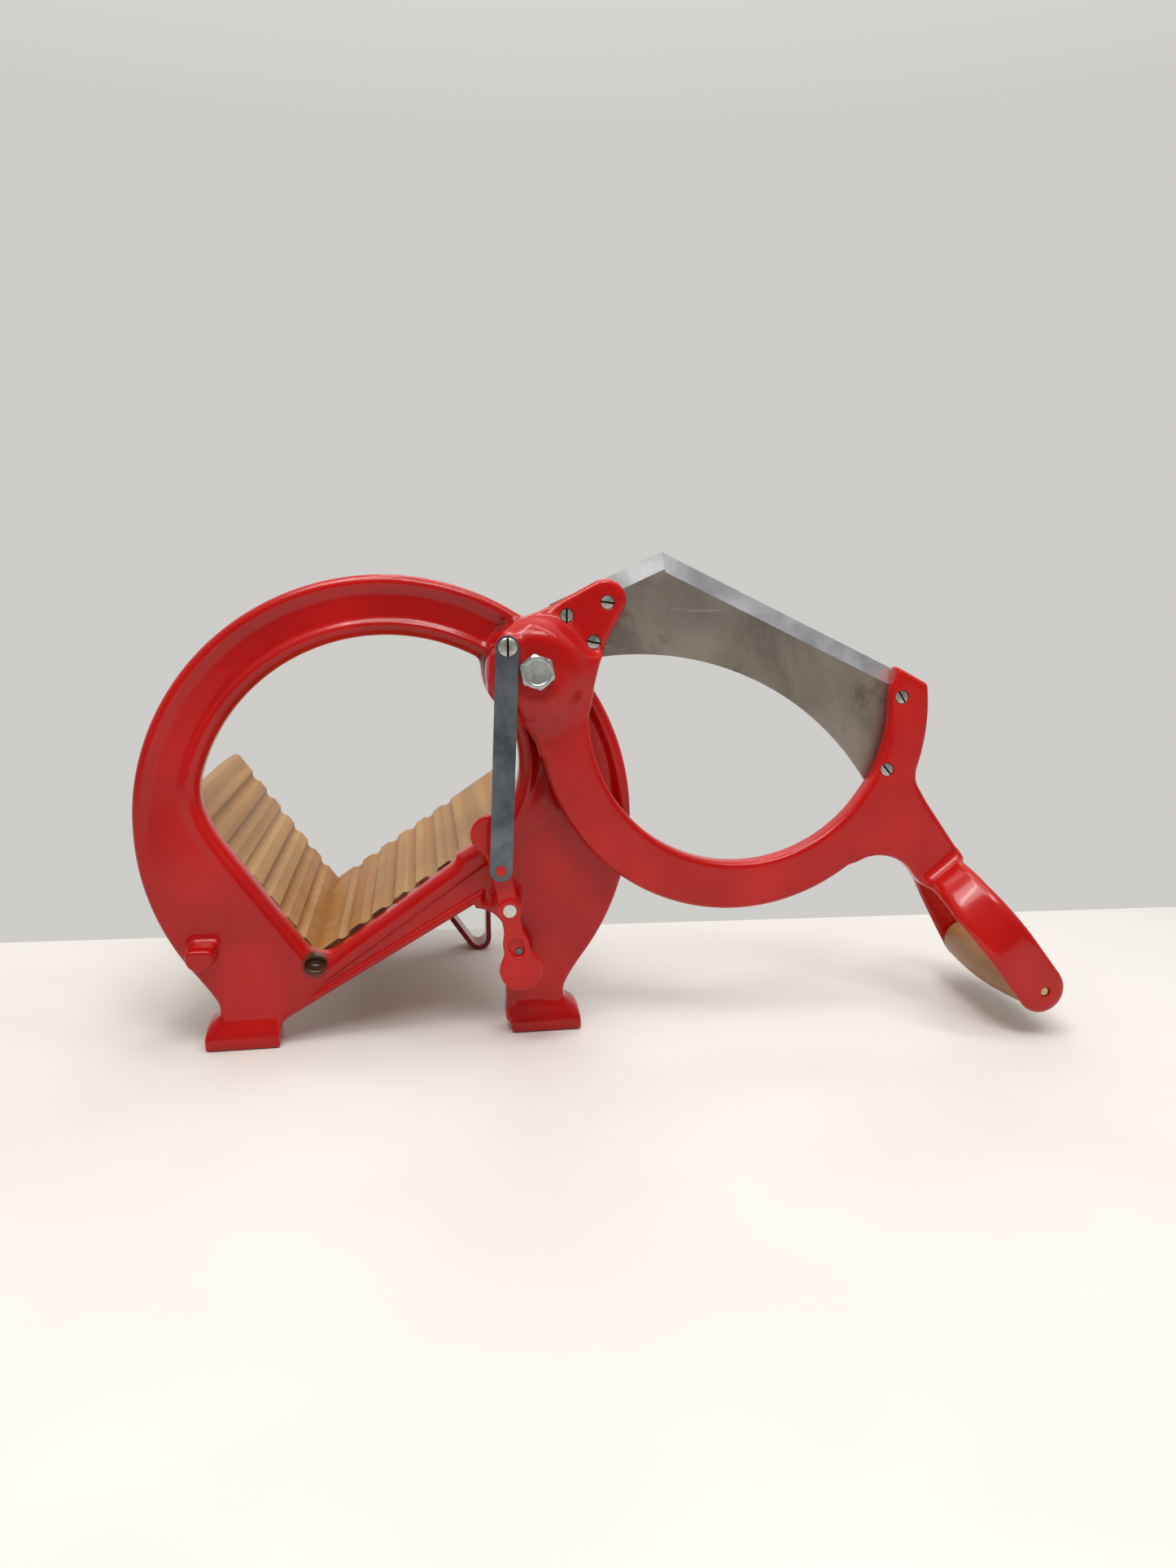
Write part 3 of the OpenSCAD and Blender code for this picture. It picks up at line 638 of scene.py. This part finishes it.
def build_lever():
    """Hub, heel, curved rim, toe, shank and the stirrup of the handle, as one casting."""
    low, high, pitch = (-33, -68, 12), (333, 56, 292), 1.0
    x, y, z = grid(low, high, pitch)
    rim = smax(disc(x, z, 127, 204, 124.5), -disc(x, z, *RIM_INNER, 96.7), 0.5)
    cut = outline(x, z, [(-50, 240), (100, 240), (100, 216), (226.5, 214.5), (230, 232),
                         (248.5, 222), (275, 206), (275, 340), (-50, 340)])
    rim = smax(rim, -cut, 1.5)
    web = outline(x, z, [(-26, 221), (-18, 211.5), (-10, 204), (-3.5, 196.5), (1, 188),
                         (3.2, 180), (20, 190), (0, 225)])
    rim = smin(rim, web, 3)
    heel = np.minimum(disc(x, z, 44.5, 274.5, 12.6), outline(x, z, [
        (-8, 261), (-16, 244), (8, 215), (33, 212), (34.5, 225), (40, 240), (55.5, 268.4),
        (39.2, 286)]))
    plan = smin(heel, disc(x, z, 0, PIVOT_Z, 29), 9)
    heel = smax(heel, slab(y, HEEL_FRONT, ARM_BACK), 4.0)
    shank = outline(x, z, [(196, 112), (210, 150), (236, 172), (243.5, 163), (246.5, 156.5),
                           (254, 144.2), (273.2, 117.3), (280.4, 106.4), (254.5, 90.5),
                           (215, 100)])
    shank = smax(shank, -disc(x, z, 222, 80, 30), 4)
    shank = smax(shank, -disc(x, z, *RIM_INNER, 99.7), 1)
    flat = smin(rim, shank, 5)
    plan = smin(plan, flat, 7)
    plate = smax(flat, slab(y, RIM_FRONT, ARM_BACK), 4.2)
    dome = 12
    hub = np.hypot(np.maximum(disc(x, z, 0, PIVOT_Z, 29 - dome), 0),
                   np.maximum(HUB_FRONT + dome - y, 0)) - dome
    hub = np.maximum(hub, y - ARM_BACK)
    horn = smax(disc(x, z, *LINK_TOP, 7), slab(y, HUB_FRONT, ARM_BACK), 1.5)
    body = smin(plate, heel, 9)
    body = smin(body, hub, 14)
    # the wide blend may not swell past the outline seen from the front
    body = np.maximum(body, plan - 0.2)
    body = smin(body, horn, 4)
    # the stirrup: a bent strap, cut to the outline of its ears
    ca, sa = math.cos(EAR_ANGLE), math.sin(EAR_ANGLE)
    s = (x - GRIP[0]) * ca + (z - GRIP[1]) * sa
    n = (x - GRIP[0]) * sa - (z - GRIP[1]) * ca
    across = y - EAR_MID
    bend = np.hypot(np.maximum(np.abs(across) - 2, 0), np.maximum(s - 28, 0))
    strap = np.abs(bend - 54.5) - 3.5
    ear = outline(s, -n, [
        (1.5 + 16 * math.cos(math.radians(a)), 0.5 + 16 * math.sin(math.radians(a)))
        for a in range(90, 271, 15)] + [(35, -16), (70, -16.7), (87, -19), (87, 7), (79, 10.5),
                                        (66, 14.5), (45, 15.7), (15, 16.5)])
    slant = (-n - 10.5 + 0.18 * (s - 10) + 0.244 * (across - 56)) * 0.957
    stirrup = smax(smax(strap, ear, 6.5), slant, 5)
    body = smin(body, stirrup, 7)
    # the seat of the blade
    seat = np.maximum(blade_field(x, z) - 0.25, slab(y, -5.0, 0))
    body = np.maximum(body, -seat)
    body = np.maximum(body, np.where(z > SEAT_BOTTOM, y - ARM_BACK, NO_CUT))
    obj = casting("lever_casting", body, low, pitch, "red_enamel_arm", "lever")
    relax(obj)
    holes = [(px, pz, SCREW_HOLE_R, HEEL_FRONT - 5, -7.6) for px, pz, _ in HEEL_SCREWS]
    holes += [(px, pz, SCREW_HOLE_R, RIM_FRONT - 5, -11) for px, pz, _ in TOE_SCREWS]
    holes += [(*GRIP, 3.1, -80, 70), (0, PIVOT_Z, PIVOT_HOLE_R, -40, 5)]
    drill(obj, holes)
    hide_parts("arm")


# ---------------------------------------------------------------- gauge rocker

def build_gauge():
    """The rocker: a cranked arm with an upper finger and a round weight below."""
    low, high, pitch = (-44, -30, 33), (6, -6, 149), 0.55
    x, y, z = grid(low, high, pitch)
    hub, top, low_eye = GAUGE_AXIS, (-23, 114.7), (-14.2, 66)
    weight_at, finger_at, pin = (-11.3, 50), (-27.8, 133), (-12.7, 62.5)
    arms = smin(capsule(x, z, hub, top, 5.75), capsule(x, z, hub, low_eye, 5.75), 2)
    arms = smin(arms, capsule(x, z, low_eye, (-12.5, 56), 7.5), 5)
    arms = smin(arms, disc(x, z, *weight_at, 13.2), 4)
    body = smax(arms, slab(y, -27.5, -21.5), 2)
    weight = smax(disc(x, z, *weight_at, 10.5), slab(y, -23, -12), 1.5)
    body = smin(body, weight, 2)
    eye = smax(disc(x, z, *top, 6.2), slab(y, -27.5, -9.5), 1.2)
    body = smin(body, eye, 2)
    collar = smax(disc(x, z, *hub, 6.9), slab(y, -28, -21.5), 1)
    body = smin(body, collar, 1.5)
    finger = smin(capsule(x, z, top, (-27.8, 132), 6.5), disc(x, z, *finger_at, 12.4), 4)
    body = smin(body, smax(finger, slab(y, -13.5, -9.5), 1.6), 1.5)
    pit = smin(disc(x, z, -14.4, 66, 4.6), disc(x, z, -12.9, 62.6, 3.4), 2)
    pit = smax(pit, slab(y, -40, -25.9), 1)
    body = smax(body, -pit, 1)
    obj = casting("gauge_casting", body, low, pitch, "red_enamel_arm", "rocker")
    relax(obj)
    drill(obj, [(*hub, 4.15, -40, 10), (*pin, 2.1, -40, 10)])
    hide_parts("gauge")


# ---------------------------------------------------------------- hardware

def build_bolt():
    """Hexagon bolt with chamfered corners, a shallow dished top and a washer face."""
    half_flats, turn, sixth = 9.5, math.radians(10), math.pi / 3
    top = HUB_FRONT - 7.55
    profile = [(6, 35), (6, HUB_FRONT + 2), (9.3, HUB_FRONT - 0.05), (9.3, HUB_FRONT - 0.5),
               (11.2, HUB_FRONT - 0.6), (11.2, top + 2.0), (10.6, top + 1.2), (9.4, top + 0.35),
               (8.6, top + 0.05), (7.9, top), (7.4, top + 0.25), (7.0, top + 0.75),
               (5.0, top + 0.85), (2.0, top + 0.9)]

    def hexagon(a):
        return half_flats / math.cos((a - turn + sixth / 2) % sixth - sixth / 2)

    obj = revolve("bolt_head", 0, PIVOT_Z, profile, "zinc_bolt", "base", 72, hexagon)
    obj.data.set_sharp_from_angle(angle=math.radians(32))
    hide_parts("pivot_bolt")


def screw_head(name, x, z, front, r, slot_angle, crown=0.35, width=1.15):
    """A slotted head: a shallow dome with a milled slot that holds old grime."""
    rings = [(0.02, front - crown), (r * 0.45, front - crown * 0.85),
             (r * 0.8, front - crown * 0.4), (r * 0.93, front - 0.05), (r, front + 0.3),
             (r, front + 2.6)]
    obj = revolve(name, x, z, rings, "nickel_screw", "lever", 56)
    slot_depth = 0.0028
    bm = bmesh.new()
    place = (Matrix.Translation(row(x, front - 0.2, z))
             @ Matrix.Rotation(math.radians(slot_angle), 4, "Y")
             @ Matrix.Diagonal((r * 2.3 / 1000, slot_depth, width / 1000, 1)))
    bmesh.ops.create_cube(bm, size=1, matrix=place)
    carve(obj, bm)
    obj.data.set_sharp_from_angle(angle=math.radians(40))
    obj.data.materials.append(MATS["grime"])
    axis = row(x, front, z)
    for poly in obj.data.polygons:
        c = poly.center
        inside = math.hypot(c.x - axis.x, c.z - axis.z) < 0.95 * r / 1000
        if inside and c.y > axis.y + 0.0001:
            poly.material_index = 1
    return obj


def build_screws():
    """The blade's screws at the lever's heel and toe, and the screw on top of the link."""
    for end, screws, front in (("heel", HEEL_SCREWS, HEEL_FRONT + 0.35),
                               ("toe", TOE_SCREWS, RIM_FRONT + 0.45)):
        for i, (x, z, a) in enumerate(screws):
            obj = screw_head(f"{end}_screw_head_{i + 1}", x, z, front, SCREW_R, a)
            if i == 0:
                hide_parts(f"{end}_screws")
    obj = screw_head("link_screw_head", *LINK_TOP, -33.2, 5.4, 90, 0.6, 1.3)
    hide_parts("link_screw")


# ---------------------------------------------------------------- carried CAD nodes

SLOTS = {p["node"]: p["material_slot"] for p in frame["record"]["subparts"]}


def dress_node(name, width):
    """Gives a carried node its material, and rounds its edges by a bevel in metres."""
    obj = NODES[name]
    obj.data.materials.clear()
    obj.data.materials.append(MATS[SLOTS[name]])
    obj.data.polygons.foreach_set("use_smooth", [True] * len(obj.data.polygons))
    obj.data.set_sharp_from_angle(angle=math.radians(30))
    if width:
        mod = obj.modifiers.new("edges", "BEVEL")
        mod.width = width
        mod.segments = 2
        mod.limit_method = "ANGLE"
        mod.angle_limit = math.radians(32)
        mod.harden_normals = False
    return obj


def dress_blade():
    """The ground bevel is brighter than the mottled face."""
    obj = dress_node("blade", 0)
    obj.data.materials.append(MATS["blade_edge"])
    for poly in obj.data.polygons:
        if -0.995 < poly.normal.y < -0.9:
            poly.material_index = 1


# ---------------------------------------------------------------- floor, world, lights

def build_stage():
    """A pale table top; the light room beyond its far edge comes from the world."""
    floor = Shader("floor", Roughness=0.55)
    tone = floor.ramp(floor.noise(3.5, 3), 0.3, 0.7)
    floor_mat = floor.done(floor.mix(tone, (0.70, 0.68, 0.645), (0.75, 0.73, 0.695)))
    left, right = Vector((-405, 248, 0)), Vector((585, 187, 0))
    along = (right - left).normalized() * 3000
    a, b = left - along, right + along
    mesh = bpy.data.meshes.new("floor")
    mesh.from_pydata([row(*v) for v in ((a.x, a.y, 0), (a.x, -3500, 0), (b.x, -3500, 0),
                                        (b.x, b.y, 0))], [], [(0, 1, 2, 3)])
    mesh.materials.append(floor_mat)
    obj = bpy.data.objects.new("floor", mesh)
    bpy.context.scene.collection.objects.link(obj)


def build_world():
    """A pale room: bright overhead and behind the object, dimmer in front of it."""
    world = bpy.data.worlds.new("world")
    world.use_nodes = True
    tree = world.node_tree
    coords = tree.nodes.new("ShaderNodeTexCoord")
    parts = tree.nodes.new("ShaderNodeSeparateXYZ")
    tree.links.new(coords.outputs["Generated"], parts.inputs[0])
    total = tree.nodes.new("ShaderNodeMath")
    total.operation = "ADD"
    for i, (axis, low, high, dim, bright) in enumerate(
            ((1, -0.7, 0.5, 0.14, 0.62), (2, 0.35, 0.95, 0.0, 0.45))):
        ramp = tree.nodes.new("ShaderNodeMapRange")
        tree.links.new(parts.outputs[axis], ramp.inputs["Value"])
        for key, v in zip(("From Min", "From Max", "To Min", "To Max"), (low, high, dim, bright)):
            ramp.inputs[key].default_value = v
        tree.links.new(ramp.outputs["Result"], total.inputs[i])
    back = tree.nodes["Background"]
    back.inputs["Color"].default_value = (1.0, 0.98, 0.945, 1)
    tree.links.new(total.outputs[0], back.inputs["Strength"])
    bpy.context.scene.world = world


LIGHTS = (
    # name, place, target, size in metres, watts, colour
    ("key", (-350, -500, 1500), (0, 60, 120), (0.8, 0.5), 7.5, (1.0, 0.985, 0.965)),
    ("tube_left", (-180, -150, 1300), (-80, 60, 120), (0.06, 0.9), 2.6, (1.0, 0.985, 0.97)),
    ("tube_right", (420, -250, 1400), (150, 60, 120), (0.10, 1.0), 3, (1.0, 0.985, 0.97)),
    ("front", (250, -900, 1500), (50, 60, 150), (0.5, 0.4), 6.5, (1.0, 0.985, 0.965)),
    ("rear", (150, 900, 1300), (0, 60, 120), (0.6, 0.4), 2.2, (1.0, 0.985, 0.965)),
)

# CAD nodes that a piece above replaces, or that have their own treatment
HANDLED = {"frame", "arm", "gauge", "pivot_bolt", "heel_screws", "toe_screws", "link_screw",
           "blade"}
EDGE_WIDTHS = {"left_board": 0.0008, "right_board": 0.0008, "rear_leg": 0.0008, "grip": 0.0,
               "link_bar": 0.00035}

set_camera()
make_materials()
build_frame()
build_lever()
build_gauge()
build_bolt()
build_screws()
dress_blade()
for key in NODES:
    if key not in HANDLED:
        dress_node(key, EDGE_WIDTHS.get(key, 0.0002))
build_stage()
build_world()
bpy.context.scene.view_settings.view_transform = "Standard"
for light in LIGHTS:
    area_light(*light)
